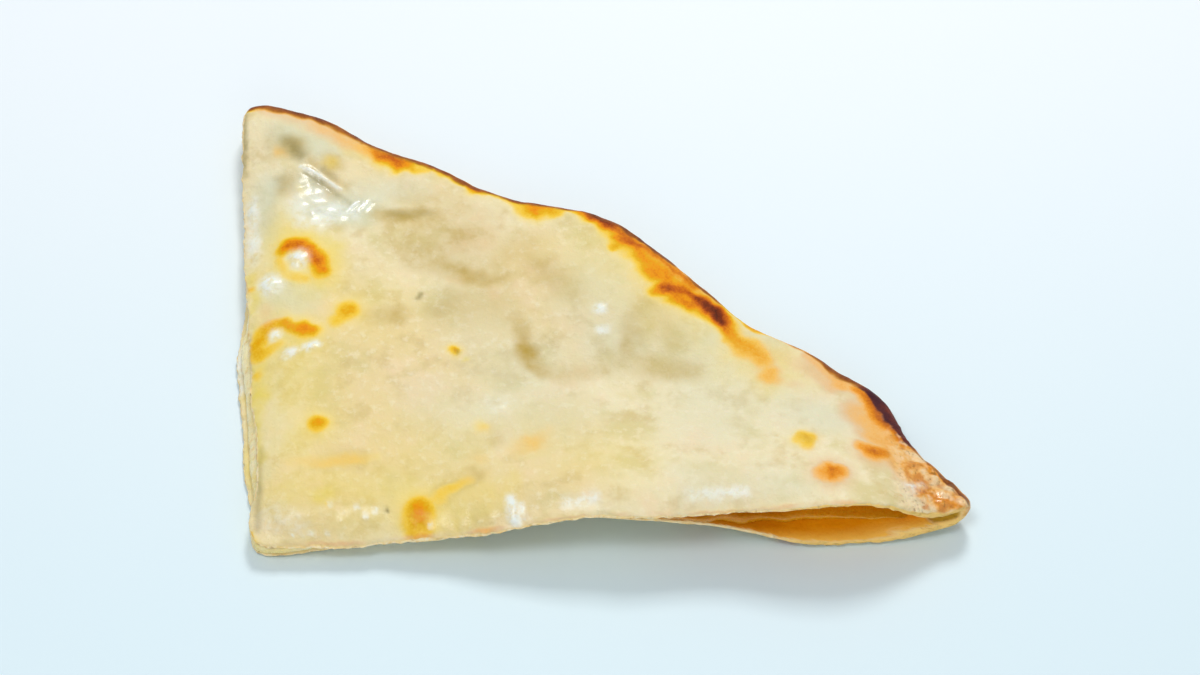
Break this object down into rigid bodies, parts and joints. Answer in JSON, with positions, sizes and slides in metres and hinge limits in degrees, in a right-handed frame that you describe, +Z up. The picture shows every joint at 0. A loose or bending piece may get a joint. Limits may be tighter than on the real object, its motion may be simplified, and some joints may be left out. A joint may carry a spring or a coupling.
{
  "type": "mozzarella naan wedge",
  "caption": "Wedge of naan filled with melted mozzarella, its thin dough layers joined along a browned outer crust and open at the straight cuts, where the cheese shows.",
  "frame": {"origin": "middle of the box in plan, at the height of the table that the wedge lies on", "axes": "+X along the long cut towards the pointed end, +Y from the long cut towards the crust, +Z up"},
  "size_m": [0.1356, 0.103, 0.0141],
  "materials": {
    "dough": "baked wheat dough, cream with golden blisters, browned along the crust, lightly oiled",
    "cheese": "melted mozzarella, pale cream yellow, glossy with butterfat"
  },
  "bodies": {
    "root": {"naan_bread": "dough", "mozzarella_layer": "cheese"}
  },
  "joints": []
}
